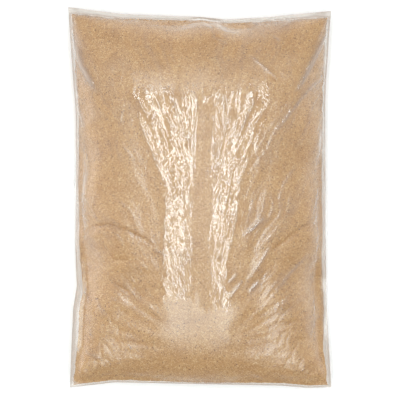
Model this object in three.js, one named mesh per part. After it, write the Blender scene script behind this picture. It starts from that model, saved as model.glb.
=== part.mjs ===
// A clear film pillow bag of light brown cane sugar, lying flat on its back with the front face up.
// Millimetres, +X to the right across the bag, +Y towards its top seal, +Z up.
// The origin is on the surface that the bag lies on, under the middle of the bag.
import * as THREE from "three";

// The flat bag, before it was filled
const FLAT_WIDTH = 262;
const FLAT_LENGTH = 378;

// How far filling draws each edge in between its corners
const SIDE_DRAW_IN = 6;
const TOP_DRAW_IN = 8;
const BOTTOM_DRAW_IN = 4.5;
const TOP_LEFT_RISE = 4.5; // the top left corner stands this far past the top right one

// The film outside the sugar: a heat seal at the top and bottom, a flattened fold at the sides
const TOP_SEAL = 8;
const BOTTOM_SEAL = 6;
const SIDE_FOLD = 4;
const EDGE_THICKNESS = 1.2;
const EDGE_WAVE = 1.3; // how far the slack edges wander up and down, and half as far in and out
const EDGE_WAVE_PITCH = 64;
const EDGE_WAVE_SHARES = [0.6, 0.4]; // a long wave and a shorter one
const SHORTER_WAVE = 1.7; // how many times as many of the shorter waves there are

// The filled form
const TOP_HEIGHT = 55; // highest point of the front face
const EDGE_HEIGHT = 23; // the side folds, half way along
const CORNER_DROP = 8; // how much lower the corners hang
const BOTTOM_EDGE_DROP = 7; // the sugar has settled over the bottom seal and pushed it down
const SETTLING = 0.06; // how much fuller the bottom end is than the top end
const SIDE_ROUNDING = 0.62; // 0.5 gives an elliptical flank, 1 a knife edge
const ACROSS_FULLNESS = 2.5;
const ALONG_FULLNESS = 4.2;
const UNDERSIDE_ROUNDING = 0.55;
const UNDERSIDE_FULLNESS = 1.35; // over 1, so that the middle of the underside lies flat on its surface
const BODY_START = 0.1; // how full the bag is where folds reach their whole depth

// Folds of the film that are wide enough to show in the form
const PUCKER_PITCH = 27; // gathers along the edges, where the film is longer than the seam
const PUCKER_DEPTH = 2.2;
const PUCKER_REACH = 26;
const PUCKER_DRIFT = 8; // how far the gathers wander from an even pitch
const PUCKER_DRIFT_LENGTH = 29;
const CORNER_FOLD_DEPTH = 2.6;
const CORNER_FOLD_WIDTH = 10;
const CORNER_FOLD_START = [8, 30]; // from the corner, where the fold begins and where it is deepest
const CORNER_FOLD_END = [45, 95]; // where it starts to fade and where it is gone
const TOP_FOLD_ANGLE = 27; // degrees between a top corner's fold and the bag's length
const BOTTOM_FOLD_ANGLE = 58;
const FAN_DEPTH = 1.4; // long folds of the front, which open out towards the top
const FAN_PITCH = 26; // between two folds, half way up
const FAN_OPENING = 230; // the distance along the bag in which the pitch grows e times
const FAN_REACH = 75; // to each side, half way up
const FAN_BOTTOM = [-95, -45]; // along the bag, where the folds begin and where they are deepest
const FAN_TOP = [60, 130]; // where they start to fade and where they are gone

// Broad hollows where the sugar has settled away from the film, each from one point to another
const HOLLOW_DEPTH = 1.8;
const HOLLOW_WIDTH = 15;
const HOLLOWS = [
  new THREE.Line3(new THREE.Vector3(-56, -92, 0), new THREE.Vector3(-98, -150, 0)),
  new THREE.Line3(new THREE.Vector3(44, -98, 0), new THREE.Vector3(76, -143, 0)),
];

// Steps of the mesh, closer together near the edges
const STEPS_ACROSS = 40;
const STEPS_ALONG = 56;
const EDGE_CROWDING = 0.34;

const SUGAR_COLOUR = 0xc6a27c;

const { abs, cos, exp, max, sign, sin, PI } = Math;
const { clamp, degToRad, smoothstep } = THREE.MathUtils;

/** Spreads even steps from -1 to 1 so that they crowd towards both ends. */
function crowd(step) {
  return step * (1 + EDGE_CROWDING * (1 - step * step));
}

/** The place in plan of a point of the bag, from its shares across and along, each from -1 to 1. */
function planOf(across, along) {
  const wave = (EDGE_WAVE / 2) * edgeWave(along, sign(across)) * (1 - along ** 4);
  const halfWidth = FLAT_WIDTH / 2 + wave - SIDE_DRAW_IN * (1 - abs(along) ** 3);
  const drawIn = along > 0 ? TOP_DRAW_IN : BOTTOM_DRAW_IN;
  const halfLength = FLAT_LENGTH / 2 - drawIn * (1 - across * across);
  const slant = (TOP_LEFT_RISE / 2) * -across * max(along, 0);
  return new THREE.Vector2(across * halfWidth, along * halfLength + slant);
}

/** How far a slack side edge wanders at a share along it, from -1 to 1 and different on each side. */
function edgeWave(along, side) {
  const turn = (PI * FLAT_LENGTH * along) / EDGE_WAVE_PITCH;
  const [long, short] = EDGE_WAVE_SHARES;
  return long * sin(turn + side) + short * sin(SHORTER_WAVE * turn - 2 * side);
}

/** How full the bag is at a share across or along: 0 in the sealed edge, 1 in the middle. */
function fullness(share, halfLength, sealed, power) {
  const fromSeal = halfLength * (1 - abs(share)) - sealed;
  const inside = clamp(fromSeal / (halfLength - sealed), 0, 1);
  return 1 - (1 - inside) ** power;
}

/** The height of the seam's surface, which the front face rises from and the underside hangs from. */
function seamHeight(across, along) {
  const corner = abs(across * along) ** 3;
  const lowEnd = along < 0 ? abs(along) ** 3 : 0;
  const wave = EDGE_WAVE * edgeWave(along, sign(across)) * abs(across) ** 6;
  return EDGE_HEIGHT + wave - CORNER_DROP * corner - BOTTOM_EDGE_DROP * lowEnd * (1 - corner);
}

/** Gathers that run in from the edges and fade towards the middle. */
function puckers(plan, across, along) {
  const fromSide = (1 - abs(across)) * (FLAT_WIDTH / 2);
  const fromEnd = (1 - abs(along)) * (FLAT_LENGTH / 2);
  const sides = gathers(plan.y, sign(across)) * fade(fromSide) * (1 - along ** 8);
  const ends = gathers(plan.x, sign(along)) * fade(fromEnd) * (1 - across ** 8);
  return PUCKER_DEPTH * (sides + ends);
}

/** A row of gathers of uneven pitch along one edge, from -1 to 1. */
function gathers(place, side) {
  const drifted = place + PUCKER_DRIFT * sin(place / PUCKER_DRIFT_LENGTH);
  return sin((2 * PI * drifted) / PUCKER_PITCH + side);
}

/** 0 on the edge itself, most half way through the gathers' reach, and fading from there inwards. */
function fade(distance) {
  const share = (2 * distance) / PUCKER_REACH;
  return (share * exp(1 - share)) / 2;
}

/** One fold from each corner towards the middle, where the film is drawn tight. */
function cornerFolds(plan) {
  const corner = new THREE.Vector2((sign(plan.x) * FLAT_WIDTH) / 2, (sign(plan.y) * FLAT_LENGTH) / 2);
  const angle = degToRad(plan.y > 0 ? TOP_FOLD_ANGLE : BOTTOM_FOLD_ANGLE);
  const inward = new THREE.Vector2(-sign(plan.x) * sin(angle), -sign(plan.y) * cos(angle));
  const offset = plan.clone().sub(corner);
  const run = offset.dot(inward);
  const aside = offset.cross(inward);
  const along = smoothstep(run, ...CORNER_FOLD_START) * (1 - smoothstep(run, ...CORNER_FOLD_END));
  return CORNER_FOLD_DEPTH * along * exp(-((aside / CORNER_FOLD_WIDTH) ** 2));
}

/** Long ridges on the front, close together low in the middle and opening out towards the top corners. */
function fanFolds(plan) {
  const aside = plan.x * exp(-plan.y / FAN_OPENING);
  const along = smoothstep(plan.y, ...FAN_BOTTOM) * (1 - smoothstep(plan.y, ...FAN_TOP));
  const within = exp(-((aside / FAN_REACH) ** 4));
  return -FAN_DEPTH * along * within * cos((2 * PI * aside) / FAN_PITCH);
}

/** How deep the settled hollows are at a point of the front. */
function hollows(plan) {
  const point = new THREE.Vector3(plan.x, plan.y, 0);
  const nearest = new THREE.Vector3();
  return HOLLOWS.reduce((depth, line) => {
    const distance = line.closestPointToPoint(point, true, nearest).distanceTo(point);
    return depth + HOLLOW_DEPTH * exp(-((distance / HOLLOW_WIDTH) ** 2));
  }, 0);
}

/** Moves one point of the flat slab to where it is on the filled bag. */
function fill(point) {
  const across = crowd(point.x);
  const along = crowd(point.y);
  const plan = planOf(across, along);
  const seal = along > 0 ? TOP_SEAL : BOTTOM_SEAL;
  const full =
    fullness(across, FLAT_WIDTH / 2, SIDE_FOLD, ACROSS_FULLNESS) *
    fullness(along, FLAT_LENGTH / 2, seal, ALONG_FULLNESS);
  const seam = seamHeight(across, along);
  const inBody = smoothstep(full, 0, BODY_START);
  if (point.z > 0) {
    const rise = (TOP_HEIGHT - EDGE_HEIGHT) * (1 - SETTLING * along) * full ** SIDE_ROUNDING;
    const folds = puckers(plan, across, along) + cornerFolds(plan) + fanFolds(plan) - hollows(plan);
    point.set(plan.x, plan.y, seam + EDGE_THICKNESS / 2 + rise + folds * inBody);
  } else {
    const hang = EDGE_HEIGHT * UNDERSIDE_FULLNESS * full ** UNDERSIDE_ROUNDING;
    const folds = (puckers(plan, across, along) + cornerFolds(plan)) * inBody;
    point.set(plan.x, plan.y, max(0, seam - EDGE_THICKNESS / 2 - hang - folds));
  }
}

/** A flat slab two units square whose every vertex is moved to the filled form, set over the origin. */
function bagGeometry() {
  const geometry = new THREE.BoxGeometry(2, 2, 2, STEPS_ACROSS, STEPS_ALONG, 1);
  const position = geometry.getAttribute("position");
  const point = new THREE.Vector3();
  for (let i = 0; i < position.count; i++) {
    point.fromBufferAttribute(position, i);
    fill(point);
    position.setXYZ(i, point.x, point.y, point.z);
  }
  geometry.computeBoundingBox();
  const middle = geometry.boundingBox.getCenter(new THREE.Vector3());
  geometry.translate(-middle.x, -middle.y, 0);
  geometry.computeVertexNormals();
  return geometry;
}

const bag = new THREE.Mesh(
  bagGeometry(),
  new THREE.MeshStandardMaterial({ color: SUGAR_COLOUR, roughness: 0.45, metalness: 0 }),
);
bag.name = "sugar_bag";

const part = new THREE.Group();
part.add(bag);

export default part;
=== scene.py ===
"""A clear film pillow bag of light brown cane sugar, lying flat on its back and seen from straight above.

The bag is made as the real one is. Two sheets of thin film, joined round the rim, are filled by a cloth
simulation, fitted to the outline and the height of the filled bag, and creased after that. The sugar is a
body of packed crystals just inside the film, with loose crystals on its face and in the slack rim.

Where a value is a pair of places or heights, a change starts at the first and is complete at the second. In a
pair of pitches the first is across the bag and the second along it.
"""

import math

import bmesh
import bpy
import numpy as np
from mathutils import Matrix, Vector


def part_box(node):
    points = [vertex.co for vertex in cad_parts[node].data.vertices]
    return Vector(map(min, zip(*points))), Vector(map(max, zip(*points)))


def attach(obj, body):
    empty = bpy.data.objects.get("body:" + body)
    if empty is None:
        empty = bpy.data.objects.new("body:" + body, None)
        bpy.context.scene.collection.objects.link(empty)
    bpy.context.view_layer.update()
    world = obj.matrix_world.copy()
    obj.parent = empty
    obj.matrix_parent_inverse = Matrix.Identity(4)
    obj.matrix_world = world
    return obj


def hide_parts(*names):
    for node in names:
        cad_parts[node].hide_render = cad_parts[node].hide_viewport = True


MM = 0.001
BAG = "sugar_bag"

# The flat bag, before it is filled. Its edges bow out, because filling draws them in again.
FLAT_WIDTH = 262 * MM
FLAT_LENGTH = 378 * MM
SIDE_BOW = 6 * MM
TOP_BOW = 4 * MM
BOTTOM_BOW = 8 * MM

# The filling, as a cloth simulation
SIM_CELLS = (60, 86)
START_HEIGHT = 6 * MM  # of the empty bag's rim over the ground
START_PARTING = 4 * MM  # how far each sheet is from the height of the rim
START_SLOPE = 0.15  # the share of half the width and length in which the sheets part
RIM_WELD = 1e-4  # in shares of the width and length
FILLED_LITRES = 4.1
FILL_FRAMES = 46
SETTLED_PASSES = 24  # smoothing of what the film does over the settled sugar
EDGE_PASSES = 3
EDGE_FOLDS = (9 * MM, 30 * MM)  # from the rim, where the simulated folds fade
FOLD_START = 6 * MM
FOLD_ROUNDING = 0.8 * MM
SHOULDER_FULLNESS = 1.0  # 0 keeps the simulated round shoulders, and 1 fills them out with loose sugar
NORMAL_STEP = 0.004  # in shares of the width and length

# The outline of the filled bag, in millimetres: places along an edge, and its distance from the middle
TOP_OUTLINE = [(-131, 190), (-78, 183.7), (0, 181.5), (27, 179), (68, 180.5), (98, 183.2), (131, 186)]
BOTTOM_OUTLINE = [(-131, -190), (-85, -184.8), (0, -186.5), (82, -188), (106, -190), (131, -189.5)]
LEFT_OUTLINE = [
    (-190, -130.5), (-145, -128.6), (-105, -126.7), (-83, -123.2), (-62, -124.5), (-42, -125.2),
    (88, -124.4), (122, -127), (190, -131.5),
]
RIGHT_OUTLINE = [
    (-190, 131.5), (-170, 130.6), (-118, 128), (-83, 127), (-42, 126.3),
    (98, 125.4), (118, 126), (170, 129), (190, 130.8),
]

# The finished film
FRONT_CELLS = (220, 316)
BACK_CELLS = (110, 158)
TOP_SEAL = 6 * MM
SIDE_SEAL = 2.0 * MM
BOTTOM_SEAL = 1.2 * MM
SEALED_GAP = 0.1 * MM
PARTING = 5 * MM  # how far from a seal the sheets have parted altogether
RIM_BLEND = 8 * MM  # how far from the rim creases and relief reach their whole height
FILM_FLOOR = 0.1 * MM
VEILED_FOLD = 3.2 * MM  # the height of a fold that looks as milky as film gets
SEAL_VEIL_AND_SHADE = 0.45  # how milky the margin looks, and how grey its painted shade is, as a share of that fold
SEAL_VEIL_AND_SHADE_EDGE = (-1.5 * MM, 1.3 * MM)  # from the sugar's edge inwards, where the margin's veil and its painted shade fade
CLEAR_FOLD = (0.25 * MM, 0.7 * MM)  # heights between which a fold comes clear of the crystals
CLEAR_FOLD_SHARE = 0.8
CRINKLE_FADE = 0.6  # how much of its crushed creases the outer film goes without near the top
CRINKLE_FADE_TOP = (95 * MM, 125 * MM)

# The sugar inside
SUGAR_FRONT_CELLS = (200, 288)
SUGAR_BACK_CELLS = (50, 72)
SIDE_MARGIN = 3.4 * MM
TOP_MARGIN = 6.4 * MM
BOTTOM_MARGIN = 1.8 * MM
RAGGED_EDGE = [(1.2 * MM, 24, 34, 21), (0.6 * MM, 70, 100, 22)]  # height, bumps across and along, seed
RAGGED_OUTWARDS = 0.3 * MM
RAGGED_BOTTOM = 0.5  # as a share of the other edges
SUGAR_FLOOR = 0.4 * MM
FILM_GAP = 0.5 * MM
LOOSE_GAP = 1.0 * MM

# The loose crystals
CRYSTAL = 0.9 * MM
CRYSTAL_SIZES = (0.6, 1.15)  # the smallest and largest, as shares of that
CRYSTAL_SIDES = (0.7, 1.0)  # the shortest and longest side, as shares of a crystal's size
SUNK = 0.2 * MM  # how deep the middles of the crystals lie in the sugar's face
LOOSE_CRYSTALS = 11000
LOOSE_ACROSS = (0.02, 0.98)
LOOSE_ALONG = (0.012, 0.978)
STRAY_CRYSTALS = 900  # of them lie along the sugar's edge, where the sheets part
STRAY_AT_SIDES = 0.6
STRAY_SPREAD = 0.9 * MM

# Single creases: the width and height of each, and its route from the middle of the bag, in millimetres.
# Those with a height below 0 press a groove into the sugar.
CREASES = [
    # The long folds that fan out of the lower middle, on the left
    (1.5, 0.46, (-63, 92), (-58, 72), (-51, 53), (-43, 33), (-34, 8)),
    (1.5, 0.38, (-61, 98), (-51, 77), (-43, 63)),
    (1.6, 0.42, (-44, 100), (-35, 80), (-25, 68)),
    (1.6, 0.38, (-28, 100), (-20, 79), (-12, 53)),
    (1.4, 0.34, (-11, 87), (-11, 44)),
    (1.4, 0.34, (-2, 98), (-6, 61), (-7, 19)),
    (1.6, 0.34, (-33, 5), (-36, -50), (-38, -92)),
    # and on the right
    (2.0, 0.27, (77, 80), (58, 49), (40, 19)),
    (2.0, 0.25, (79, 74), (64, 44), (45, 17)),
    (1.5, 0.42, (71, 98), (61, 81), (48, 66)),
    (1.6, 0.46, (55, 100), (46, 80), (41, 68)),
    (1.4, 0.34, (39, 118), (36, 83)),
    (1.6, 0.42, (22, 105), (25, 70), (20, 40)),
    (1.3, 0.25, (8, 100), (4, 91)),
    (1.6, 0.38, (40, 10), (34, -30), (28, -62)),
    # Short creases across them
    (1.1, -1.2, (-43, 61), (-30, 58), (-15, 51)),
    (1.1, -1.2, (-38, 68), (-20, 66)),
    (1.2, -1.2, (-31, 6), (-17, -1)),
    (1.2, -1.2, (-29, -16), (-14, -24)),
    (1.2, 0.25, (-88, 85), (-76, 89), (-80, 66)),
    (1.2, 0.25, (-79, 53), (-61, 33)),
    # The drawn corners
    (3.2, 1.9, (-130, 172), (-117, 131), (-100, 101)),
    (2.0, 1.1, (-123, 95), (-114, 66)),
    (2.6, 1.9, (129, 172), (108, 128), (95, 103)),
    (1.8, 1.0, (122, 121), (110, 109), (98, 95), (75, 65)),
    # Small ones near the top seal
    (1.5, -2.7, (6, 175), (13, 169), (15, 159), (30, 151)),
    (1.2, 0.7, (72, 159), (80, 153)),
    (1.2, 0.7, (47, 141), (61, 130), (75, 118)),
    (1.4, 0.7, (79, 167), (97, 178)),
    (1.3, -1.95, (-106, 176), (-93, 181), (-81, 177)),
    # The arches on both sides, where the film sags over the settled sugar, and the folds below them
    (1.7, -3.0, (-124, -42), (-111, -30), (-92, -27), (-71, -33), (-46, -46)),
    (1.2, 0.7, (-52, -40), (-45, -45)),
    (1.2, 0.8, (-46, -51), (-34, -57)),
    (2.4, -2.55, (-107, -40), (-89, -63), (-70, -62)),
    (1.6, -2.25, (-93, -79), (-85, -87), (-69, -94)),
    (1.8, 0.8, (-106, -99), (-97, -119)),
    (1.6, 0.8, (-123, -85), (-114, -107)),
    (1.6, 0.8, (-118, -153), (-100, -162)),
    (1.6, 0.7, (-114, -130), (-108, -142)),
    (1.7, -3.0, (122, -25), (102, -30), (84, -44), (71, -53)),
    (2.0, 1.2, (66, -19), (43, -38)),
    (1.6, 1.0, (71, -47), (54, -74)),
    (1.8, 1.0, (111, -57), (92, -74), (76, -92)),
    (1.8, 1.1, (60, -81), (48, -95)),
    (1.5, 1.1, (43, -82), (28, -100)),
    (1.3, 0.9, (38, -74), (28, -85)),
    (1.4, 0.7, (96, 32), (83, 12), (79, -2)),
    (1.4, 0.7, (76, -109), (89, -100)),
    (1.4, 0.8, (125, -117), (113, -140)),
    (1.3, 0.6, (83, -184), (99, -188)),
]
CREASE_REACH = 5  # widths, past which a crease is no longer felt
CREASE_SHARPNESS = 1.5
BRIDGED = 0.3  # the share of a groove in the sugar that the film over it follows

# Broad hollows where the sugar has settled away from under the film: depth, width and route, in millimetres
HOLLOWS = [
    (1.5, 17, (-58, -70), (-66, -105), (-98, -150)),
    (1.3, 17, (50, -80), (56, -110), (80, -146)),
    (0.8, 12, (-92, -20), (-100, -60)),
]

# In the lower half the sugar is heaped a little along the middle
HEAP_HEIGHT = 2.2 * MM
HEAP_SIDE = (8 * MM, 66 * MM)
HEAP_END = (0, 75 * MM)

# Past the outermost folds of the fan the film falls away more steeply: places along the bag, and how far
# across the fall starts there, in millimetres
LEFT_SHOULDER = [(-115, -29), (-100, -34), (8, -35), (33, -42), (53, -49), (72, -56), (98, -64)]
RIGHT_SHOULDER = [
    (-125, 20), (-106, 28), (-85, 24), (-62, 24), (-42, 30), (-28, 34), (-15, 42), (0, 40),
    (30, 44), (70, 57), (100, 66),
]
SHOULDER_RAGGED = 4 * MM
SHOULDER_RAGGED_PITCH = (25 * MM, 13 * MM)
SHOULDER_FALL = 0.085
SHOULDER_RUN = 24 * MM
SHOULDER_BEND = 1.5 * MM
SHOULDER_START = (-182 * MM, -140 * MM)
SHOULDER_END = (100 * MM, 150 * MM)
FOOT_FALL = 0.17  # the same beside the heaped sugar, lower down
FOOT_RUN = 42 * MM
FOOT_END = (-90 * MM, -30 * MM)
FOOT_BEND = 22 * MM
FOOT_BEND_END = (-115 * MM, -90 * MM)

# Between folds of the fan the film runs level for a while: the lower tip of each such wedge and its upper
# corners, in millimetres
WEDGES = [
    ((24, 38), (30, 100), (45, 100)),
    ((-20, 55), (-26, 104), (-14, 104)),
    ((-40, 60), (-48, 100), (-35, 100)),
]
WEDGE_SLOPE = 0.06
WEDGE_CALM = 0.75  # how much of the fan's fine folds the wedges go without
WEDGE_EDGE = 3 * MM
WEDGE_RAGGED = 1.5 * MM
WEDGE_RAGGED_PITCH = (5 * MM, 15 * MM)

# The loose film between its lower and upper ends. Past them it is pressed onto the crystals.
LEFT_END = -96 * MM
RIGHT_END = -107 * MM
UPPER_END = 104 * MM
LOWER_FADE = (-7 * MM, 2 * MM)
UPPER_FADE = (-5 * MM, 8 * MM)
SIDE_FADE = (2 * MM, 10 * MM)
SIDE_FADE_RAGGED = 3 * MM
SIDE_FADE_PITCH = (7 * MM, 12 * MM)
POINTED = 8 * MM  # how ragged the two ends are
POINTED_PITCH = (4 * MM, 35 * MM)
POINTED_TOP = 1.6  # how many times as ragged the upper end is as the lower one

# The fan of fine folds on the loose film
FAN_GROWTH = 108 * MM  # the distance up the bag in which the folds spread e times
FAN_PITCH = 9 * MM
FAN_LENGTH = 95 * MM
FAN_HEIGHT = 0.21 * MM
# Each with its height, how much closer it is across and along, how much it grows upwards, and its seed
FAN_FOLDS = [(1, 1, 1, 0, 3), (0.5, 2.1, 1.7, 1, 4), (0.35, 4.4, 3.2, 1, 6)]
FAN_RISE = (0, 80 * MM)
FOLD_MEAN = 0.3  # how high ridges are on average
WAVER_PITCH = 11 * MM
WAVER_HEIGHT = 0.2 * MM
WAVER_CALM = 0.6
WAVER_LEAN = 0.5
WAVER_LENGTH = 1.8  # how much longer than wide a waver is

# A strip down the middle is drawn smooth
CALM_PLACE = 1 * MM
CALM_WIDTH = 11 * MM
CALM_EDGE = (0.4, 1.4)
CALM_DRIFT = 4 * MM
CALM_DRIFT_PITCH = (30 * MM, 20 * MM)
FIRST_CRINKLES = (-125 * MM, -85 * MM)
FIRST_CRINKLES_SHARE = 0.9
LAST_CRINKLES = (-80 * MM, 40 * MM)
CALMER_TOP = (105 * MM, 130 * MM)
CALMER_TOP_SHARE = 0.5

# Small crinkles all over: height, pitch across, pitch along, lean and seed
CRINKLES = [
    (0.03 * MM, 6 * MM, 3.6 * MM, 1, 5),
    (0.018 * MM, 3.3 * MM, 4.2 * MM, -1, 13),
]
CRINKLE_LEAN = 0.35
CRINKLE_DRIFT = 9 * MM
CRINKLE_DRIFT_PITCH = 30 * MM

# Wrinkles that run out from the lower middle over the pressed film
WRINKLE_FOCUS = (8 * MM, -150 * MM)
WRINKLE_COUNT = 12  # for each radian round the focus
WRINKLE_START = 20 * MM
WRINKLE_BREAKS = 3  # for each e times of distance from the focus
WRINKLE_DRIFT_PITCH = 35 * MM
WRINKLE_DRIFT = (0.5, 0.9)  # across and along, in wrinkles
WRINKLE_PATCH = 38 * MM
WRINKLE_PATCH_EDGE = (-0.45, 0.25)
WRINKLE_HEIGHT = 0.45 * MM
WRINKLE_SETS = [(1, 1.6, 0.5, 9), (0.5, 3.3, 1.5, 10)]  # height, closeness across and along, and seed
WRINKLE_RISE = (-155 * MM, -80 * MM)
WRINKLE_LOW = 0.3  # their share of the height low down
BROAD_HEIGHT = 0.65 * MM
BROAD_PLAN = (0.85, 0.4)  # how close they are, across and along
BROAD_RISE = (-150 * MM, -90 * MM)
BROAD_LOW = 0.5
MIDDLE_HALF_WIDTH = 42 * MM  # no such wrinkles over the fan and the heap
MIDDLE_SPREAD = 0.28
MIDDLE_EDGE = (0.85, 1.35)
MIDDLE_TOP = (105 * MM, 135 * MM)

# Small irregular wrinkles in the lower corners
CRUMPLE_PITCH = 9 * MM
CRUMPLE_DEPTH = 1.0 * MM
CRUMPLE_TURN = (1.5 / 1.8, 1 / 1.8)  # how far outwards and down the bag the direction across them points
CRUMPLE_WARP = 5 * MM
CRUMPLE_WARP_PITCH = 16 * MM
CRUMPLE_SIDE = (62 * MM, 92 * MM)
CRUMPLE_TOP = (-110 * MM, -60 * MM)

# Gathers at the rim
GATHER_PITCH = 10 * MM
GATHER_REACH = 26 * MM
GATHER_HEIGHT = 0.9 * MM
GATHER_SEED = 11
EDGE_SPACING = 9  # keeps the noise of opposite edges apart

# Finishes
FILM_INDEX = 1.51
BOTH_FACES = 1.9  # a film reflects from its outer and its inner face
DAMP_PATCH = 22 * MM  # the molasses isn't quite even through the sugar
CRYSTAL_COLOURS = [(0.0, 0x7A5232), (0.05, 0xB68652), (0.5, 0xC69961), (0.85, 0xCEA36D), (1.0, 0xE0BF90)]
DAMP_COLOURS = [(0.3, 0xF3ECE2), (0.5, 0xFFFDFA), (0.7, 0xFFFFFF)]
# The see-through tints for each veil. The grey middle steps are painted shade. They are darkest at the sealed
# margin's veil, and folds of middle height take them too. The ends are the film's own clear and milky tints.
VEIL_AND_PAINTED_SHADE_TINTS = [(0.0, 0xFBFAF8), (0.25, 0xECE8E4), (0.45, 0xD4CDC8), (1.0, 0xF0E0D0)]

# The two soft boxes over the bag, in metres, and the studio's walls, whose values are shares of WALL_LIGHT
BOX_WIDTH = 0.34
BOX_LENGTH = 1.54
BOX_HEIGHT = 1.5
BOX_PLACES = {"left_soft_box": -0.23, "right_soft_box": 0.23}
BOX_ALONG = -0.15
BOX_POWER = 25.5
BOX_COLOUR = 0xEFFCFF
BOX_PROFILE = [
    (0.0, 0x303030), (0.25, 0x707070), (0.42, 0xE0E0E0), (0.5, 0xFFFFFF),
    (0.58, 0xE0E0E0), (0.75, 0x707070), (1.0, 0x303030),
]
WALL_LIGHT = 1.09
WALL_STEPS = [
    (0.0, 0xFFFFFF), (0.3, 0xE8E8E8), (0.55, 0xBCBCBC),
    (0.85, 0x9C9C9C), (0.975, 0x8C8C8C), (0.99, 0xE4E4E4),
]
LEFT_WALL = 1.22
RIGHT_WALL = 0.82
NEAR_WALL = 0.4
FAR_WALL = 1.3
SIDE_PANEL = 1.3  # what the walls beside the bag's middle give on top, as a share
SIDE_PANEL_OUT = (0.25, 0.5)
SIDE_PANEL_ALONG = (0.1, 0.45)
SWEEP_HALF_WIDTH = 3

# The camera, square above the bag, with a millimetre of the seam to a pixel
CAMERA_HEIGHT = 1.5
SEAM_HEIGHT = 20 * MM
SENSOR = 36
FRAME_WIDTH = 0.4
FRAME_MIDDLE = -2.5 * MM

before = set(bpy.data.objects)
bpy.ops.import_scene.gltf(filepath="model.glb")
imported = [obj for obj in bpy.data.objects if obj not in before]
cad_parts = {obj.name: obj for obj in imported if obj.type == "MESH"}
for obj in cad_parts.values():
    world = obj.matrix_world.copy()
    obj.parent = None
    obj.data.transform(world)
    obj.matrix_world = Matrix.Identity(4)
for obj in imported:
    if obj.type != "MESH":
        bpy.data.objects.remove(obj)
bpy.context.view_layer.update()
LOW, HIGH = (np.array(corner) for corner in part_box(BAG))


# Small tools

def ease(value, start, end):
    """0 before start, 1 after end, and smooth in between."""
    share = np.clip((value - start) / (end - start), 0, 1)
    return share * share * (3 - 2 * share)


def noise(x, y, seed):
    """Smooth noise from about -1 to 1 over a plane, with about one bump for each unit of x and y."""
    side = 64
    gain = 1.6
    turn = np.random.default_rng(seed).uniform(0, 2 * math.pi, (side, side))
    column = np.floor(x).astype(int)
    row = np.floor(y).astype(int)
    u = x - column
    v = y - row

    def slope(across, along):
        angle = turn[(row + along) % side, (column + across) % side]
        return np.cos(angle) * (u - across) + np.sin(angle) * (v - along)

    eased_u = ease(u, 0, 1)
    eased_v = ease(v, 0, 1)
    low = slope(0, 0) * (1 - eased_u) + slope(1, 0) * eased_u
    high = slope(0, 1) * (1 - eased_u) + slope(1, 1) * eased_u
    return gain * (low * (1 - eased_v) + high * eased_v)


def noise_at(x, y, pitch, seed):
    """Smooth noise with a pitch across and along, both in metres."""
    return noise(x / pitch[0], y / pitch[1], seed)


def ridges(x, y, seed):
    """Sharp crests from 0 to 1 where smooth noise passes through zero."""
    sharpness = 2.6
    return (1 - np.minimum(1, sharpness * np.abs(noise(x, y, seed)))) ** 2


def unit(vectors):
    return vectors / np.maximum(np.linalg.norm(vectors, axis=-1, keepdims=True), 1e-12)


def along_outline(outline, place):
    """How far an outline in millimetres is from the middle at places along it, in metres."""
    return np.interp(place / MM, *np.array(outline).T) * MM


def new_object(name, bm):
    mesh = bpy.data.meshes.new(name)
    bm.to_mesh(mesh)
    bm.free()
    made = bpy.data.objects.new(name, mesh)
    bpy.context.scene.collection.objects.link(made)
    return made


def coordinates(mesh):
    found = np.empty(len(mesh.vertices) * 3, np.float32)
    mesh.vertices.foreach_get("co", found)
    return found.reshape(-1, 3).astype(float)


def move_to(mesh, points):
    mesh.vertices.foreach_set("co", points.astype(np.float32).ravel())
    mesh.update()


def store(mesh, name, values):
    """Keeps a number or a vector for each vertex, for a material to read."""
    kind, key = ("FLOAT", "value") if values.ndim == 1 else ("FLOAT_VECTOR", "vector")
    attribute = mesh.attributes.new(name, kind, "POINT")
    attribute.data.foreach_set(key, values.astype(np.float32).ravel())


# The two sheets

def pillow(name, front_cells, back_cells):
    """A closed bag of two flat sheets joined round the rim, as an object in plan shares.

    X and Y are shares across and along, each from 0 to 1. Z is 1 on the front, -1 on the back and 0 on
    the rim.
    """
    bm = bmesh.new()
    for side, cells in ((1, front_cells), (-1, back_cells)):
        made = bmesh.ops.create_grid(bm, x_segments=cells[0], y_segments=cells[1], size=0.5)["verts"]
        bmesh.ops.translate(bm, verts=made, vec=(0.5, 0.5, side))
    back = [f for f in bm.faces if f.verts[0].co.z < 0]
    bmesh.ops.reverse_faces(bm, faces=back)
    finer = front_cells[0] // back_cells[0]
    if finer > 1:
        back_rim = [e for e in bm.edges if e.is_boundary and e.verts[0].co.z < 0]
        bmesh.ops.subdivide_edges(bm, edges=back_rim, cuts=finer - 1)
    rim = [v for v in bm.verts if v.is_boundary]
    for vert in rim:
        vert.co.z = 0
    bmesh.ops.remove_doubles(bm, verts=rim, dist=RIM_WELD)
    for edge in bm.edges:
        edge.smooth = not all(v.co.z == 0 for v in edge.verts)
    for face in bm.faces:
        face.smooth = True
    return new_object(name, bm)


def flat_bag(shares):
    """The unfilled bag: the front a little above the back, and the edges bowed out."""
    across = 2 * shares[:, 0] - 1
    along = 2 * shares[:, 1] - 1
    end_bow = np.where(along > 0, TOP_BOW, BOTTOM_BOW)
    x = across * (FLAT_WIDTH / 2 + SIDE_BOW * (1 - along**2))
    y = along * (FLAT_LENGTH / 2 + end_bow * (1 - across**2))
    from_rim = np.minimum(1 - np.abs(across), 1 - np.abs(along))
    z = START_HEIGHT + START_PARTING * np.sign(shares[:, 2]) * ease(from_rim, 0, START_SLOPE)
    return np.column_stack((x, y, z))


def lay_ground():
    """The surface that the bag is filled on."""
    bm = bmesh.new()
    bmesh.ops.create_grid(bm, x_segments=2, y_segments=2, size=0.5)
    ground = new_object("ground", bm)
    ground.modifiers.new("collision", "COLLISION")
    ground.collision.thickness_outer = 1.5 * MM
    ground.collision.cloth_friction = 20
    return ground


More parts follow.
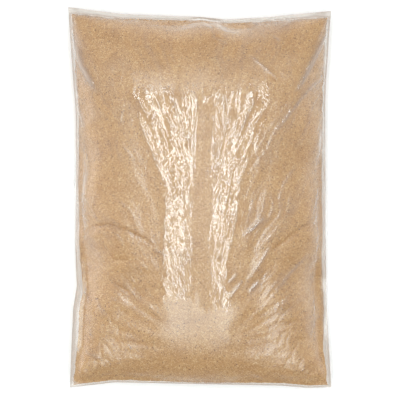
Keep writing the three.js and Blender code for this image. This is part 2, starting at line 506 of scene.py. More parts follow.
def make_cloth(bag):
    """Gives the bag the stiffness of thin film, and the pressure that fills it."""
    cloth = bag.modifiers.new("cloth", "CLOTH")
    film = cloth.settings
    film.quality = 8
    film.mass = 0.0006
    film.air_damping = 2.0
    film.tension_stiffness = 25
    film.compression_stiffness = 8
    film.shear_stiffness = 12
    film.bending_stiffness = 0.012
    film.tension_damping = 8
    film.compression_damping = 8
    film.shear_damping = 8
    film.use_pressure = True
    film.use_pressure_volume = True
    film.target_volume = FILLED_LITRES * MM
    film.pressure_factor = 3.0
    cloth.collision_settings.distance_min = 1.2 * MM
    cloth.collision_settings.collision_quality = 3
    cloth.collision_settings.use_self_collision = False
    cloth.point_cache.frame_end = FILL_FRAMES


def fill_by_simulation():
    """The points of the filled bag's front and back, as a grid of rows and columns each."""
    bag = pillow("unfilled_bag", SIM_CELLS, SIM_CELLS)
    shares = coordinates(bag.data)
    move_to(bag.data, flat_bag(shares))
    ground = lay_ground()
    make_cloth(bag)
    for step in range(1, FILL_FRAMES + 1):
        bpy.context.scene.frame_set(step)
    filled = coordinates(bag.evaluated_get(bpy.context.evaluated_depsgraph_get()).data)
    for spent in (bag, ground):
        bpy.data.objects.remove(spent)
    bpy.context.scene.frame_set(1)

    columns = np.round(shares[:, 0] * SIM_CELLS[0]).astype(int)
    rows = np.round(shares[:, 1] * SIM_CELLS[1]).astype(int)
    sheets = np.empty((2, SIM_CELLS[1] + 1, SIM_CELLS[0] + 1, 3))
    for sheet, side in zip(sheets, (1, -1)):
        own = shares[:, 2] * side >= 0
        sheet[rows[own], columns[own]] = filled[own]
    return sheets


def smoothed(sheets, passes):
    """The sheets without their small folds. The rim is smoothed along itself, and the corners stay."""
    calm = sheets.copy()
    for _ in range(passes):
        last = calm.copy()
        inner = last[:, :-2, 1:-1] + last[:, 2:, 1:-1] + last[:, 1:-1, :-2] + last[:, 1:-1, 2:]
        calm[:, 1:-1, 1:-1] = 0.5 * last[:, 1:-1, 1:-1] + 0.125 * inner
        for end in (0, -1):
            calm[:, end, 1:-1] = 0.5 * last[:, end, 1:-1] + 0.25 * (last[:, end, :-2] + last[:, end, 2:])
            calm[:, 1:-1, end] = 0.5 * last[:, 1:-1, end] + 0.25 * (last[:, :-2, end] + last[:, 2:, end])
    return calm


def fill_shoulders(sheets):
    """Lifts the front's shoulders, which loose sugar fills out more than air does, and keeps the crown."""
    front, back = sheets
    rim = (front[:, :1, 2] + front[:, -1:, 2]) / 2
    height = front[..., 2].max()
    share = np.clip((front[..., 2] - rim) / (height - rim), 0, 1)
    fuller = front.copy()
    fuller[..., 2] += (height - rim) * SHOULDER_FULLNESS * share * (1 - share) ** 2
    return np.stack((fuller, back))


def fit_to_outline(sheets):
    """Moves the edges onto the outline, with all between them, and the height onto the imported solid's."""
    fitted = sheets.copy()
    share_across = np.linspace(0, 1, SIM_CELLS[0] + 1)
    share_along = np.linspace(0, 1, SIM_CELLS[1] + 1)[:, None]
    y_scale = (HIGH[1] - LOW[1]) / np.ptp(sheets[..., 1])
    edge_y = (sheets[0, :, :1, 1] - sheets[..., 1].min()) * y_scale + LOW[1]
    left = along_outline(LEFT_OUTLINE, edge_y) - sheets[0, :, :1, 0]
    right = along_outline(RIGHT_OUTLINE, edge_y) - sheets[0, :, -1:, 0]
    fitted[..., 0] += left * (1 - share_across) + right * share_across
    edge_x = fitted[0, :1, :, 0]
    bottom = along_outline(BOTTOM_OUTLINE, edge_x) - sheets[0, :1, :, 1]
    top = along_outline(TOP_OUTLINE, edge_x) - sheets[0, -1:, :, 1]
    fitted[..., 1] += bottom * (1 - share_along) + top * share_along
    floor = sheets[..., 2].min()
    fitted[..., 2] = (sheets[..., 2] - floor) * HIGH[2] / (sheets[..., 2].max() - floor)
    return fitted


def curve_taps(share, count):
    """Which four of a row of points a smooth curve through them uses at a share, and each one's weight."""
    place = np.clip(share, 0, 1) * (count - 1)
    first = np.minimum(place.astype(int), count - 2)
    t = (place - first)[:, None]
    weights = np.hstack((
        -0.5 * t**3 + t**2 - 0.5 * t,
        1.5 * t**3 - 2.5 * t**2 + 1,
        -1.5 * t**3 + 2 * t**2 + 0.5 * t,
        0.5 * t**3 - 0.5 * t**2,
    ))
    indices = np.clip(first[:, None] + np.arange(-1, 3), 0, count - 1)
    return indices, weights


def on_sheet(sheet, across, along):
    """Points of a sheet at shares across and along, on a smooth surface through its grid."""
    rows, columns = sheet.shape[:2]
    column, column_weight = curve_taps(across, columns)
    row, row_weight = curve_taps(along, rows)
    patch = sheet[row[:, :, None], column[:, None, :]]
    return np.einsum("nrcx,nr,nc->nx", patch, row_weight, column_weight)


def normals_of(sheet, across, along):
    """The unit normals of a sheet at shares across and along, towards +Z where it is level."""
    step = NORMAL_STEP
    by_across = on_sheet(sheet, across + step, along) - on_sheet(sheet, across - step, along)
    by_along = on_sheet(sheet, across, along + step) - on_sheet(sheet, across, along - step)
    return unit(np.cross(by_across, by_along))


def grid_normals(sheets):
    """Unit normals at the points of both sheets, away from the sugar."""
    by_along, by_across = np.gradient(sheets, axis=(1, 2))
    return unit(np.cross(by_across, by_along) * np.array((1, -1))[:, None, None, None])


def settle(sheets):
    """The film's sheets and the sugar's: calm over the sugar, with the simulated folds kept near the rim.

    A fold of the film only ever stands out from the sugar.
    """
    calm = smoothed(sheets, SETTLED_PASSES)
    folded = smoothed(sheets, EDGE_PASSES)
    across = np.linspace(-1, 1, SIM_CELLS[0] + 1)
    along = np.linspace(-1, 1, SIM_CELLS[1] + 1)[:, None]
    from_rim = np.minimum((1 - np.abs(across)) * FLAT_WIDTH, (1 - np.abs(along)) * FLAT_LENGTH) / 2
    near_rim = 1 - ease(from_rim, *EDGE_FOLDS)
    outward = grid_normals(calm)
    fold = np.sum((folded - calm) * outward, axis=3) * near_rim
    fold = (fold + np.sqrt(fold**2 + FOLD_ROUNDING**2) - FOLD_ROUNDING) / 2
    fold *= ease(from_rim, 0, FOLD_START)
    film = calm + outward * fold[..., None]
    return fit_to_outline(fill_shoulders(film)), fit_to_outline(fill_shoulders(calm))


film_sheets, sugar_sheets = settle(fill_by_simulation())


# Relief of the settled sugar, and of the film that lies on it

def crease_lift(x, y, width, height, *route):
    """How far one crease lifts the film: a crest along its route, which fades out at both ends."""
    points = np.array(route) * MM
    steps = np.linalg.norm(np.diff(points, axis=0), axis=1)
    length = steps.sum()
    reach = CREASE_REACH * width * MM
    near = (x > points[:, 0].min() - reach) & (x < points[:, 0].max() + reach)
    near &= (y > points[:, 1].min() - reach) & (y < points[:, 1].max() + reach)
    spot = np.column_stack((x[near], y[near]))
    nearest = np.full(len(spot), np.inf)
    run = np.zeros(len(spot))
    for start, end, step, before in zip(points, points[1:], steps, np.cumsum(steps) - steps):
        along = np.clip((spot - start) @ (end - start) / step**2, 0, 1)
        away = np.linalg.norm(spot - start - along[:, None] * (end - start), axis=1)
        closer = away < nearest
        nearest[closer] = away[closer]
        run[closer] = (before + along * step)[closer] / length
    lift = np.zeros(len(x))
    crest = (1 + (nearest / (width * MM)) ** 2) ** -CREASE_SHARPNESS
    lift[near] = height * MM * crest * np.sqrt(np.sin(np.pi * np.clip(run, 0.0, 1.0)).clip(0))
    return lift


def crumples(x, y):
    """How deep small irregular wrinkles press into the sugar in the lower corners."""
    outward = np.abs(x)
    warp = CRUMPLE_WARP * noise(x / CRUMPLE_WARP_PITCH, y / CRUMPLE_WARP_PITCH, seed=24)
    across = CRUMPLE_TURN[0] * outward - CRUMPLE_TURN[1] * y + warp
    along = CRUMPLE_TURN[1] * outward + CRUMPLE_TURN[0] * y + warp
    within = ease(outward, *CRUMPLE_SIDE) * (1 - ease(y, *CRUMPLE_TOP))
    crests = ridges(across / CRUMPLE_PITCH + np.sign(x), along / (2 * CRUMPLE_PITCH), seed=23)
    return CRUMPLE_DEPTH * within * crests


def grooves(x, y):
    """Narrow grooves in the sugar, under creases that press into it. They are less than 0."""
    return sum(crease_lift(x, y, *crease) for crease in CREASES if crease[1] < 0) - crumples(x, y)


def outside_shoulders(x, y):
    """How far a point is outside the fan's outermost folds. It is less than 0 between them."""
    left = along_outline(LEFT_SHOULDER, y)
    right = along_outline(RIGHT_SHOULDER, y)
    ragged = SHOULDER_RAGGED * noise_at(x, y, SHOULDER_RAGGED_PITCH, seed=17)
    return np.maximum(x - right, left - x) + ragged


def shoulder_fall(x, y):
    """How far the film and sugar lie lower outside the fan's outermost folds."""
    outside = outside_shoulders(x, y).clip(0)
    foot = 1 - ease(y, *FOOT_END)
    bend = SHOULDER_BEND + (FOOT_BEND - SHOULDER_BEND) * (1 - ease(y, *FOOT_BEND_END))
    outside = np.sqrt(outside**2 + bend**2) - bend
    slope = SHOULDER_FALL + (FOOT_FALL - SHOULDER_FALL) * foot
    run = SHOULDER_RUN + (FOOT_RUN - SHOULDER_RUN) * foot
    within = ease(y, *SHOULDER_START) * (1 - ease(y, *SHOULDER_END))
    return slope * run * (1 - np.exp(-outside / run)) * within


def wedges(y):
    """The left and right edges of each level wedge at places along the bag, and its side of the bag."""
    for tip, left, right in np.array(WEDGES) * MM:
        share = ((y - tip[1]) / (left[1] - tip[1])).clip(0)
        start, end = (tip[0] + share * (corner[0] - tip[0]) for corner in (left, right))
        yield start, end, np.sign(tip[0])


def wedge_lift(x, y):
    """The lift that makes wedges of the fan's sides run level."""
    lift = np.zeros(len(x))
    for start, end, side in wedges(y):
        place = np.clip(x, start, end)
        lift += WEDGE_SLOPE * (place - start if side > 0 else end - place)
    return lift * (1 - ease(y, *SHOULDER_END))


def on_wedges(x, y):
    """1 on the wedges that run level, and 0 off them."""
    ragged = WEDGE_RAGGED * noise_at(x, y, WEDGE_RAGGED_PITCH, seed=25)
    level = np.zeros(len(x))
    for start, end, _ in wedges(y):
        level = np.maximum(level, ease(np.minimum(x - start, end - x) + ragged, 0, WEDGE_EDGE))
    return level


def wrinkle_plan(x, y):
    """Coordinates round the point that the pressed film's wrinkles run out from, and away from it."""
    from_focus = np.hypot(x - WRINKLE_FOCUS[0], y - WRINKLE_FOCUS[1])
    turn = np.arctan2(x - WRINKLE_FOCUS[0], y - WRINKLE_FOCUS[1])
    spot = (x / WRINKLE_DRIFT_PITCH, y / WRINKLE_DRIFT_PITCH)
    across = turn * WRINKLE_COUNT + WRINKLE_DRIFT[0] * noise(*spot, seed=15)
    along = np.log(from_focus + WRINKLE_START) * WRINKLE_BREAKS + WRINKLE_DRIFT[1] * noise(*spot, seed=16)
    return across, along


def off_the_middle(x, y):
    """0 over the fan and the heap below it, which stay free of the outer wrinkles, and 1 beside them."""
    half_width = MIDDLE_HALF_WIDTH + MIDDLE_SPREAD * np.maximum(y, 0)
    inner, outer = MIDDLE_EDGE
    beside = ease(np.abs(x - CALM_PLACE), inner * half_width, outer * half_width)
    return np.maximum(beside, ease(y, *MIDDLE_TOP))


def broad_wrinkles(x, y):
    """Folds as wide as a finger, in the film and in the sugar under it."""
    across, along = wrinkle_plan(x, y)
    height = BROAD_HEIGHT * (BROAD_LOW + (1 - BROAD_LOW) * ease(y, *BROAD_RISE))
    return height * noise(BROAD_PLAN[0] * across, BROAD_PLAN[1] * along, seed=14) * off_the_middle(x, y)


def settled_relief(x, y):
    """How the settled sugar and the film on it stand out or fall in."""
    heap = HEAP_HEIGHT * ease(np.abs(x), *HEAP_SIDE) * (1 - ease(y, *HEAP_END))
    relief = broad_wrinkles(x, y) + wedge_lift(x, y) - heap - shoulder_fall(x, y)
    for depth, width, *route in HOLLOWS:
        relief += crease_lift(x, y, width, -depth, *route)
    return relief


# Creases of the film alone

def fan_plan(x, y):
    """Coordinates that follow the fan: across its folds, as if they were parallel, and along them."""
    return x * np.exp(-y / FAN_GROWTH) / FAN_PITCH, y / FAN_LENGTH


def looseness(x, y):
    """1 where the film stands clear of the sugar, and 0 where it is pressed onto the crystals."""
    ragged = SIDE_FADE_RAGGED * noise_at(x, y, SIDE_FADE_PITCH, seed=8)
    pointed = POINTED * noise_at(x, y, POINTED_PITCH, seed=20)
    above = y - np.where(x < 0, LEFT_END, RIGHT_END) - pointed
    below = y - UPPER_END - POINTED_TOP * pointed
    middle = ease(above, *LOWER_FADE) * (1 - ease(below, *UPPER_FADE))
    return middle * (1 - ease(outside_shoulders(x, y) + ragged, *SIDE_FADE))


def pressed_wrinkles(x, y):
    """Fine wrinkles that run out from the lower middle over the film that lies on the sugar."""
    across, along = wrinkle_plan(x, y)
    patches = ease(noise(x / WRINKLE_PATCH, y / WRINKLE_PATCH, seed=7), *WRINKLE_PATCH_EDGE)
    patches *= off_the_middle(x, y) * (WRINKLE_LOW + (1 - WRINKLE_LOW) * ease(y, *WRINKLE_RISE))
    fine = sum(height * ridges(u * across, v * along, seed) for height, u, v, seed in WRINKLE_SETS)
    return WRINKLE_HEIGHT * patches * fine


def drawn_smooth(x, y):
    """1 on the calm strip down the middle, less low on the loose film, and 0 where it is crinkled."""
    drift = CALM_DRIFT * noise_at(x, y, CALM_DRIFT_PITCH, seed=19)
    inner, outer = CALM_EDGE
    beside = ease(np.abs(x + drift - CALM_PLACE), inner * CALM_WIDTH, outer * CALM_WIDTH)
    crinkled = FIRST_CRINKLES_SHARE * ease(y, *FIRST_CRINKLES)
    crinkled += (1 - FIRST_CRINKLES_SHARE) * ease(y, *LAST_CRINKLES)
    calm = 1 - beside * crinkled * (1 - CALMER_TOP_SHARE * ease(y, *CALMER_TOP))
    return np.maximum(calm, WEDGE_CALM * on_wedges(x, y))


def fan_creases(x, y):
    """The fine folds of the fan, and a slow waver of the loose film under them."""
    across, along = fan_plan(x, y)
    loose = looseness(x, y)
    calm = drawn_smooth(x, y)
    waver = noise(x / WAVER_PITCH, (y + WAVER_LEAN * x) / (WAVER_LENGTH * WAVER_PITCH), seed=18)
    lift = WAVER_HEIGHT * loose * (1 - WAVER_CALM * calm) * waver
    for share, closer_across, closer_along, growth, seed in FAN_FOLDS:
        height = share * FAN_HEIGHT * loose * (1 - calm) * (1 + growth * ease(y, *FAN_RISE))
        lift += height * (ridges(closer_across * across, closer_along * along, seed) - FOLD_MEAN)
    return lift


def crinkles(x, y):
    """Small crinkles that cross each other all over the film."""
    drift = CRINKLE_DRIFT * noise(x / CRINKLE_DRIFT_PITCH, y / CRINKLE_DRIFT_PITCH, seed=12)
    lift = np.zeros(len(x))
    for height, across, along, lean, seed in CRINKLES:
        leaning = y + lean * (CRINKLE_LEAN * x + drift)
        lift += height * ridges(x / across, leaning / along, seed)
    return lift


def front_creases(x, y):
    """How far the creases lift the film off the sugar, which it never goes into."""
    lift = fan_creases(x, y) + crinkles(x, y) + pressed_wrinkles(x, y)
    lift += sum(crease_lift(x, y, *crease) for crease in CREASES if crease[1] > 0)
    return np.maximum(lift, -0.5 * FILM_GAP)


def edge_gathers(x, y):
    """Gathers that run in from the rim, where the film is longer than its drawn edge."""
    from_side = FLAT_WIDTH / 2 - np.abs(x)
    from_end = FLAT_LENGTH / 2 - np.abs(y)
    side_place = EDGE_SPACING * np.sign(x) + from_side / GATHER_REACH
    end_place = EDGE_SPACING * np.sign(y) + from_end / GATHER_REACH
    side = noise(y / GATHER_PITCH, side_place, GATHER_SEED) * np.exp(-from_side / GATHER_REACH)
    end = noise(x / GATHER_PITCH, end_place, GATHER_SEED + 1) * np.exp(-from_end / GATHER_REACH)
    return GATHER_HEIGHT * (side + end)


def rim_distance(across, along):
    """How far the shares across and along are from the sides, the bottom and the top, in metres of film."""
    side = np.minimum(across, 1 - across) * FLAT_WIDTH
    return side, along * FLAT_LENGTH, (1 - along) * FLAT_LENGTH


def nearest_of(from_side, from_bottom, from_top):
    return np.minimum(from_side, np.minimum(from_bottom, from_top))


def parted(distance):
    """How far the sheets have parted at a distance from their seal, as a share, along a quarter circle."""
    return np.sqrt(1 - (1 - np.clip(distance / PARTING, 0, 1)) ** 2)


# The film

def make_film():
    """The two filled sheets with their creases, brought together at the seals."""
    film = pillow("film", FRONT_CELLS, BACK_CELLS)
    across, along, side = coordinates(film.data).T
    on_front = (side >= 0)[:, None]
    front = on_sheet(film_sheets[0], across, along)
    back = on_sheet(film_sheets[1], across, along)
    outward = np.where(
        on_front, normals_of(film_sheets[0], across, along), -normals_of(film_sheets[1], across, along)
    )
    points = np.where(on_front, front, back)
    x, y = points[:, :2].T
    from_side, from_bottom, from_top = rim_distance(across, along)
    inside = ease(nearest_of(from_side, from_bottom, from_top), 0, RIM_BLEND)
    stand_off = np.where(side > 0, front_creases(x, y) * inside, 0)
    relief = np.where(side > 0, settled_relief(x, y) + BRIDGED * grooves(x, y), 0)
    lift = stand_off + (edge_gathers(x, y) + relief) * inside
    points += outward * lift[:, None]

    sealed = 1 - parted(nearest_of(from_side - SIDE_SEAL, from_bottom - BOTTOM_SEAL, from_top - TOP_SEAL))
    middle = (front + back) / 2
    middle[:, 2] += side * SEALED_GAP / 2
    points += (middle - points) * sealed[:, None]
    points[:, 2] = np.maximum(points[:, 2], FILM_FLOOR)
    move_to(film.data, points)
    from_sugar = nearest_of(from_side - SIDE_MARGIN, from_bottom - BOTTOM_MARGIN, from_top - TOP_MARGIN)
    store_film_values(film.data, points, side, stand_off, from_sugar)
    return film


def store_film_values(mesh, points, side, stand_off, from_sugar):
    """Keeps what the film's material reads at each of its points.

    Contact is how much the film lies on crystals, the veil is how milky it looks and how grey it is painted
    as shade, most at the seals, crinkled is how creased it is, and flow is its place in the fan.
    """
    x, y = points[:, :2].T
    clear = np.maximum(looseness(x, y), CLEAR_FOLD_SHARE * ease(stand_off, *CLEAR_FOLD)) * (side >= 0)
    store(mesh, "contact", 1 - clear)
    # At the sugar's edge the veil also greys the film with painted shade
    at_margin = 1 - ease(from_sugar, *SEAL_VEIL_AND_SHADE_EDGE)
    store(mesh, "veil_and_shade", np.maximum(SEAL_VEIL_AND_SHADE * at_margin, np.clip(stand_off / VEILED_FOLD, 0, 1)))
    outer = off_the_middle(x, y) * (1 - CRINKLE_FADE * ease(y, *CRINKLE_FADE_TOP))
    store(mesh, "crinkled", np.maximum(outer, 1 - drawn_smooth(x, y)))
    store(mesh, "flow", np.column_stack((*fan_plan(x, y), side)))


# The sugar

def under_gathers(x, y):
    """How far the sugar keeps inside the uncreased film, so that the troughs of the gathers clear it."""
    return FILM_GAP + np.maximum(-edge_gathers(x, y), 0)


def sugar_depth(x, y):
    """How far the sugar's face lies under the uncreased film."""
    return under_gathers(x, y) + LOOSE_GAP * looseness(x, y) - settled_relief(x, y) - grooves(x, y)


def within_margins(across, along):
    """Shares of the film's width and length for shares of the sugar's, inside its ragged margins."""
    ragged = sum(height * noise(across * u, along * v, seed) for height, u, v, seed in RAGGED_EDGE)
    ragged = np.maximum(ragged, -RAGGED_OUTWARDS)
    side = (SIDE_MARGIN + ragged) / FLAT_WIDTH
    bottom = (BOTTOM_MARGIN + RAGGED_BOTTOM * ragged) / FLAT_LENGTH
    top = (TOP_MARGIN + ragged) / FLAT_LENGTH
    return side + across * (1 - 2 * side), bottom + along * (1 - bottom - top)


def make_sugar():
    """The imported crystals: a body a little inside the film, with a rounded and uneven edge."""
    sugar = pillow("sugar", SUGAR_FRONT_CELLS, SUGAR_BACK_CELLS)
    share_across, share_along, side = coordinates(sugar.data).T
    across, along = within_margins(share_across, share_along)
    front = on_sheet(sugar_sheets[0], across, along)
    back = on_sheet(sugar_sheets[1], across, along)
    depth = sugar_depth(front[:, 0], front[:, 1])
    front -= normals_of(sugar_sheets[0], across, along) * depth[:, None]
    back += normals_of(sugar_sheets[1], across, along) * under_gathers(back[:, 0], back[:, 1])[:, None]
    rounding = parted(nearest_of(*rim_distance(share_across, share_along)))
    middle = (front + back) / 2
    sheet = np.where(side[:, None] >= 0, front, back)
    points = middle + (sheet - middle) * rounding[:, None]
    points[:, 2] = np.maximum(points[:, 2], SUGAR_FLOOR)
    move_to(sugar.data, points)
    return sugar


def crystal_places(draw):
    """Where the loose crystals lie: most on the sugar's face, and some along its edge."""
    across = draw.uniform(*LOOSE_ACROSS, LOOSE_CRYSTALS)
    along = draw.uniform(*LOOSE_ALONG, LOOSE_CRYSTALS)
    astray = np.arange(LOOSE_CRYSTALS) < STRAY_CRYSTALS
    side = draw.choice((-1, 1), LOOSE_CRYSTALS)
    inwards = np.abs(draw.normal(0, STRAY_SPREAD, LOOSE_CRYSTALS))
    to_sides = draw.uniform(0, 1, LOOSE_CRYSTALS) < STRAY_AT_SIDES
    at_side = 0.5 + side * (0.5 - (SIDE_MARGIN + inwards) / FLAT_WIDTH)
    end_margin = np.where(side > 0, TOP_MARGIN, BOTTOM_MARGIN)
    at_end = 0.5 + side * (0.5 - (end_margin + inwards) / FLAT_LENGTH)
    across = np.where(astray & to_sides, at_side, across)
    along = np.where(astray & ~to_sides, at_end, along)
    places = on_sheet(sugar_sheets[0], across, along)
    depth = sugar_depth(places[:, 0], places[:, 1]) + SUNK
    return places - normals_of(sugar_sheets[0], across, along) * depth[:, None]


def make_loose_crystals():
    """Single crystals between the sugar and the film.

    Each is a cube from an operator. They are joined from arrays, because there are so many of them.
    """
    draw = np.random.default_rng(31)
    places = crystal_places(draw)
    bm = bmesh.new()
    bmesh.ops.create_cube(bm, size=1)
    crystal = np.array([v.co for v in bm.verts])
    cube_faces = np.array([[v.index for v in f.verts] for f in bm.faces])
    bm.free()
    size = CRYSTAL * draw.uniform(*CRYSTAL_SIZES, (LOOSE_CRYSTALS, 1, 1))
    sides = draw.uniform(*CRYSTAL_SIDES, (LOOSE_CRYSTALS, 1, 3))
    turned, _ = np.linalg.qr(draw.normal(size=(LOOSE_CRYSTALS, 3, 3)))
    points = (crystal * size * sides) @ turned + places[:, None, :]
    count = len(crystal)
    faces = cube_faces + count * np.arange(LOOSE_CRYSTALS)[:, None, None]
    mesh = bpy.data.meshes.new("crystals_as_drawn")
    mesh.from_pydata(points.reshape(-1, 3), [], faces.reshape(-1, cube_faces.shape[1]))
    store(mesh, "tone", np.repeat(draw.uniform(0, 1, LOOSE_CRYSTALS), count))
    bm = bmesh.new()
    bm.from_mesh(mesh)
    bpy.data.meshes.remove(mesh)
    bmesh.ops.recalc_face_normals(bm, faces=bm.faces[:])
    return new_object("loose_crystals", bm)


# Materials

def linear(colour):
    """A linear RGBA colour from an sRGB hex value."""
    channels = [(colour >> shift & 255) / 255 for shift in (16, 8, 0)]
    return (*(c / 12.92 if c <= 0.04045 else ((c + 0.055) / 1.055) ** 2.4 for c in channels), 1)


def add(owner, kind, inputs=None, steps=(), **settings):
    """Adds a node with its settings, values or links for its inputs, and a ramp's steps of colour."""
    tree = owner.node_tree
    node = tree.nodes.new(kind)
    for name, value in settings.items():
        setattr(node, name, value)
    for name, value in (inputs or {}).items():
        if isinstance(value, bpy.types.NodeSocket):
            tree.links.new(value, node.inputs[name])
        else:
            node.inputs[name].default_value = value
    if steps:
        elements = node.color_ramp.elements
        while len(elements) < len(steps):
            elements.new(0.5)
        for element, (position, colour) in zip(elements, steps):
            element.position = position
            element.color = linear(colour)
    return node


def new_material(name):
    material = bpy.data.materials.new(name)
    material.use_nodes = True
    material.node_tree.nodes.clear()
    return material


def cane_sugar(name, tone_attribute=None):
    """Light brown cane sugar: dull, half clear crystals under molasses, no two quite the same colour."""
    material = new_material(name)
    place = add(material, "ShaderNodeTexCoord").outputs["Object"]
    grain = add(material, "ShaderNodeTexVoronoi", {"Vector": place, "Scale": 1 / CRYSTAL})
    if tone_attribute:
        tone = add(material, "ShaderNodeAttribute", attribute_name=tone_attribute).outputs["Fac"]
    else:
        tone = add(material, "ShaderNodeSeparateColor", {"Color": grain.outputs["Color"]}).outputs["Red"]
    crystals = add(material, "ShaderNodeValToRGB", {"Fac": tone}, CRYSTAL_COLOURS)
    patches = add(material, "ShaderNodeTexNoise", {"Vector": place, "Scale": 1 / DAMP_PATCH, "Detail": 3.0})
    damp = add(material, "ShaderNodeValToRGB", {"Fac": patches.outputs["Fac"]}, DAMP_COLOURS)
    colour = add(
        material, "ShaderNodeMix",
        {"Factor": 1.0, "A": crystals.outputs["Color"], "B": damp.outputs["Color"]},
        data_type="RGBA", blend_type="MULTIPLY",
    )
    bump = add(
        material, "ShaderNodeBump",
        {"Height": grain.outputs["Distance"], "Strength": 0.4, "Distance": 0.35 * CRYSTAL}, invert=True,
    )
    sugar = add(
        material, "ShaderNodeBsdfPrincipled",
        {
            "Base Color": colour.outputs["Result"], "Roughness": 0.5, "IOR": 1.54,
            "Normal": bump.outputs["Normal"],
        },
    )
    add(material, "ShaderNodeOutputMaterial", {"Surface": sugar.outputs["BSDF"]})
    return material


def film_bump(material, contact):
    """The film's finest relief: dimples over the crystals, streaks along the fan, and crushed creases."""
    place = add(material, "ShaderNodeTexCoord").outputs["Object"]
    flow = add(material, "ShaderNodeAttribute", attribute_name="flow").outputs["Vector"]
    crinkled = add(material, "ShaderNodeAttribute", attribute_name="crinkled").outputs["Fac"]
    # Dimples are drawn twice as wide as a crystal, or they would be too fine to show
    grain = add(material, "ShaderNodeTexNoise", {"Vector": place, "Scale": 0.5 / CRYSTAL, "Detail": 2.0})
    pressed = add(material, "ShaderNodeMath", {0: grain.outputs["Fac"], 1: contact}, operation="MULTIPLY")
    bump = add(
        material, "ShaderNodeBump",
        {"Height": pressed.outputs[0], "Strength": 0.27, "Distance": 0.3 * CRYSTAL},
    )
    # Streaks 6 mm apart across the fan, and crushed creases 7 mm apart
    patterns = (
        ({"Vector": flow, "Scale": 1.5, "Lacunarity": 2.2, "Distortion": 0.4}, 0.055 * MM),
        ({"Vector": place, "Scale": 1 / (7 * MM), "Distortion": 1.2}, 0.12 * MM),
    )
    for pattern, height in patterns:
        crests = add(
            material, "ShaderNodeTexNoise", {**pattern, "Detail": 0.8, "Offset": 1.0, "Gain": 1.0},
            noise_type="RIDGED_MULTIFRACTAL",
        )
        bump = add(
            material, "ShaderNodeBump",
            {
                "Height": crests.outputs["Fac"], "Strength": crinkled, "Distance": height,
                "Normal": bump.outputs["Normal"],
            },
        )
    return bump.outputs["Normal"]


def clear_film(name):
    """Blown polythene film: clear with a slight haze, glossy where slack, and dulled by the crystals."""
    material = new_material(name)
    contact = add(material, "ShaderNodeAttribute", attribute_name="contact").outputs["Fac"]
    veil_and_shade = add(material, "ShaderNodeAttribute", attribute_name="veil_and_shade").outputs["Fac"]
    normal = film_bump(material, contact)
    # What is seen through it: clear, milky in standing folds, and at the seals milky and greyed by painted
    # shade
    tint = add(material, "ShaderNodeValToRGB", {"Fac": veil_and_shade}, VEIL_AND_PAINTED_SHADE_TINTS)
    clear = add(material, "ShaderNodeBsdfTransparent", {"Color": tint.outputs["Color"]})
    haze = add(material, "ShaderNodeBsdfDiffuse", {"Color": linear(0xF8E8D9), "Normal": normal})
    milkiness = add(material, "ShaderNodeMapRange", {"Value": veil_and_shade, "To Min": 0.02, "To Max": 0.5})
    body = add(
        material, "ShaderNodeMixShader",
        {0: milkiness.outputs[0], 1: clear.outputs[0], 2: haze.outputs[0]},
    )
    # Its gloss: a sharp reflection, with a soft one round it from the haze of blown film
    white = linear(0xFFFFFF)
    roughness = add(material, "ShaderNodeMapRange", {"Value": contact, "To Min": 0.1, "To Max": 0.29})
    sharp = add(
        material, "ShaderNodeBsdfGlossy",
        {"Color": white, "Roughness": roughness.outputs[0], "Normal": normal},
    )
    soft = add(material, "ShaderNodeBsdfGlossy", {"Color": white, "Roughness": 0.42, "Normal": normal})
    softness = add(material, "ShaderNodeMapRange", {"Value": contact, "To Min": 0.35, "To Max": 0.12})
    gloss = add(
        material, "ShaderNodeMixShader",
        {0: softness.outputs[0], 1: sharp.outputs[0], 2: soft.outputs[0]},
    )
    # Light that meets the film from inside meets the air last, so the index is turned over there
    inside = add(material, "ShaderNodeNewGeometry").outputs["Backfacing"]
    index = add(
        material, "ShaderNodeMapRange", {"Value": inside, "To Min": FILM_INDEX, "To Max": 1 / FILM_INDEX}
    )
    fresnel = add(material, "ShaderNodeFresnel", {"IOR": index.outputs[0], "Normal": normal})
    reflected = add(
        material, "ShaderNodeMath", {0: fresnel.outputs[0], 1: BOTH_FACES},
        operation="MULTIPLY", use_clamp=True,
    )
    film = add(
        material, "ShaderNodeMixShader",
        {0: reflected.outputs[0], 1: body.outputs[0], 2: gloss.outputs[0]},
    )
    add(material, "ShaderNodeOutputMaterial", {"Surface": film.outputs[0]})
    return material


def white_sweep(name):
    """A matte white studio sweep, lit from behind so that the bag's shadow doesn't grey it."""
    material = new_material(name)
    paper = add(
        material, "ShaderNodeBsdfPrincipled",
        {
            "Base Color": linear(0xF6F6F6), "Roughness": 0.9,
            "Emission Color": linear(0xFFFFFF), "Emission Strength": 0.15,
        },
    )
    add(material, "ShaderNodeOutputMaterial", {"Surface": paper.outputs["BSDF"]})
    return material


# The studio

def lay_sweep():
    bm = bmesh.new()
    bmesh.ops.create_grid(bm, x_segments=1, y_segments=1, size=SWEEP_HALF_WIDTH)
    floor = new_object("floor", bm)
    floor.data.materials.append(white_sweep("white_sweep"))


def hang_soft_box(name, x):
    """A long soft box over the bag, brightest down its middle."""
    light = bpy.data.lights.new(name, "AREA")
    light.shape = "RECTANGLE"
    light.size = BOX_WIDTH
    light.size_y = BOX_LENGTH
    light.energy = BOX_POWER
    light.color = linear(BOX_COLOUR)[:3]
    light.use_nodes = True
    place = add(light, "ShaderNodeNewGeometry").outputs["Parametric"]
    across = add(light, "ShaderNodeSeparateXYZ", {0: place}).outputs["X"]
    profile = add(light, "ShaderNodeValToRGB", {"Fac": across}, BOX_PROFILE)
    light.node_tree.links.new(
        profile.outputs["Color"], light.node_tree.nodes["Emission"].inputs["Strength"]
    )
    made = bpy.data.objects.new(name, light)
    made.location = (x, BOX_ALONG, BOX_HEIGHT)
    bpy.context.scene.collection.objects.link(made)


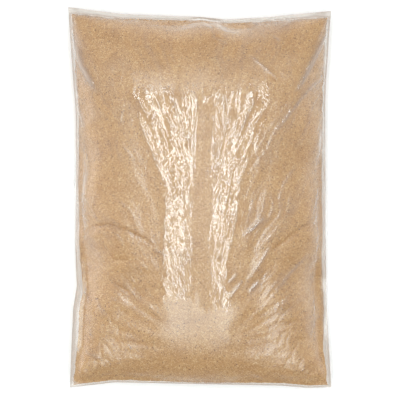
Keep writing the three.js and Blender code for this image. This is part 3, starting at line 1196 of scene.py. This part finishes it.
def side_panels(world, direction):
    """How many times brighter the walls are level with the bag's middle, on both sides."""
    outwards = add(world, "ShaderNodeMath", {0: direction.outputs["X"]}, operation="ABSOLUTE")
    lengthways = add(world, "ShaderNodeMath", {0: direction.outputs["Y"]}, operation="ABSOLUTE")
    at_side = add(
        world, "ShaderNodeMapRange",
        {"Value": outwards.outputs[0], "From Min": SIDE_PANEL_OUT[0], "From Max": SIDE_PANEL_OUT[1]},
    )
    level = add(
        world, "ShaderNodeMapRange",
        {
            "Value": lengthways.outputs[0], "To Min": SIDE_PANEL, "To Max": 0.0,
            "From Min": SIDE_PANEL_ALONG[0], "From Max": SIDE_PANEL_ALONG[1],
        },
    )
    return add(
        world, "ShaderNodeMath", {0: at_side.outputs[0], 1: level.outputs[0], 2: 1.0},
        operation="MULTIPLY_ADD",
    ).outputs[0]


def light_walls():
    """The studio's white walls and ceiling, brighter to the left, to the far end and beside the bag."""
    world = bpy.data.worlds.new("studio_walls")
    world.use_nodes = True
    backdrop = world.node_tree.nodes["Background"]
    backdrop.inputs["Color"].default_value = linear(0xFFFFFF)
    seen = add(world, "ShaderNodeTexCoord").outputs["Generated"]
    direction = add(world, "ShaderNodeSeparateXYZ", {0: seen})
    sides = add(
        world, "ShaderNodeMapRange",
        {
            "Value": direction.outputs["X"], "From Min": -1.0,
            "To Min": LEFT_WALL * WALL_LIGHT, "To Max": RIGHT_WALL * WALL_LIGHT,
        },
    )
    ends = add(
        world, "ShaderNodeMapRange",
        {"Value": direction.outputs["Y"], "From Min": -1.0, "To Min": NEAR_WALL, "To Max": FAR_WALL},
    )
    walls = add(world, "ShaderNodeValToRGB", {"Fac": direction.outputs["Z"]}, WALL_STEPS)
    strength = walls.outputs["Color"]
    for factor in (sides.outputs[0], ends.outputs[0], side_panels(world, direction)):
        strength = add(world, "ShaderNodeMath", {0: strength, 1: factor}, operation="MULTIPLY").outputs[0]
    world.node_tree.links.new(strength, backdrop.inputs["Strength"])
    bpy.context.scene.world = world


def set_up_camera():
    camera = bpy.data.objects.new("camera", bpy.data.cameras.new("camera"))
    camera.data.sensor_width = SENSOR
    camera.data.lens = SENSOR * (CAMERA_HEIGHT - SEAM_HEIGHT) / FRAME_WIDTH
    camera.location = (0, FRAME_MIDDLE, CAMERA_HEIGHT)
    bpy.context.scene.collection.objects.link(camera)
    bpy.context.scene.camera = camera
    bpy.context.scene.view_settings.view_transform = "Standard"


film = make_film()
sugar = make_sugar()
loose = make_loose_crystals()
film.data.materials.append(clear_film("clear_polythene_film"))
sugar.data.materials.append(cane_sugar("packed_cane_sugar"))
loose.data.materials.append(cane_sugar("loose_cane_sugar", "tone"))
for piece, slot in ((film, "film"), (sugar, "sugar"), (loose, "sugar")):
    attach(piece, "root")
    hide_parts(BAG)
lay_sweep()
for name, x in BOX_PLACES.items():
    hang_soft_box(name, x)
light_walls()
set_up_camera()
